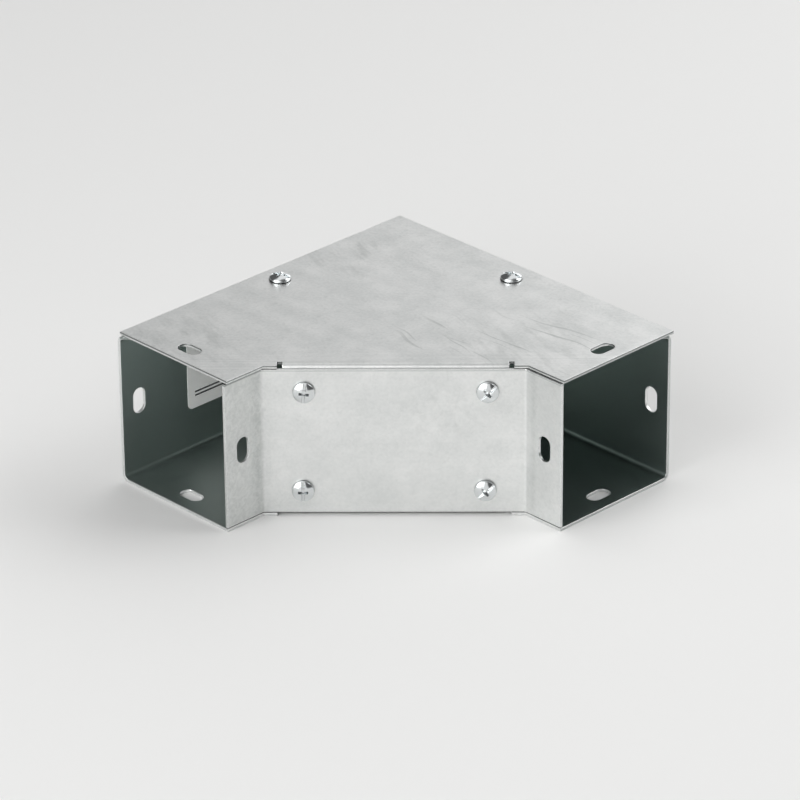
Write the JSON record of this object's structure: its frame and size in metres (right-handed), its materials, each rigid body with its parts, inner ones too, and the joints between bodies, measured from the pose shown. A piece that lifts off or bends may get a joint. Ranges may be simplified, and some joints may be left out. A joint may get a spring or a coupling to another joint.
{
  "type": "trunking bend",
  "caption": "Flat right-angle bend of square galvanised steel trunking with a cut-off inner corner and a screwed lid, for turning a cable run.",
  "frame": {"origin": "underside of the floor, where the centre lines of the two legs cross", "axes": "+Z out of the lid; one leg runs along +X and the other along -Y, each ending in an open mouth"},
  "size_m": [0.1648, 0.1648, 0.0728],
  "materials": {
    "galvanised_sheet": "hot-dip galvanised, dull with faint rolling lines",
    "galvanised_lid": "hot-dip galvanised, dull with faint scratches",
    "galvanised_plate": "hot-dip galvanised, dull",
    "zinc_screw": "bright zinc plated",
    "label": "matt printed sticker, blank"
  },
  "bodies": {
    "root": {"body": "galvanised_sheet", "lid": "galvanised_lid", "inner_plate": "galvanised_plate", "lid_screws": "zinc_screw", "plate_screws": "zinc_screw", "label": "label"}
  },
  "joints": []
}
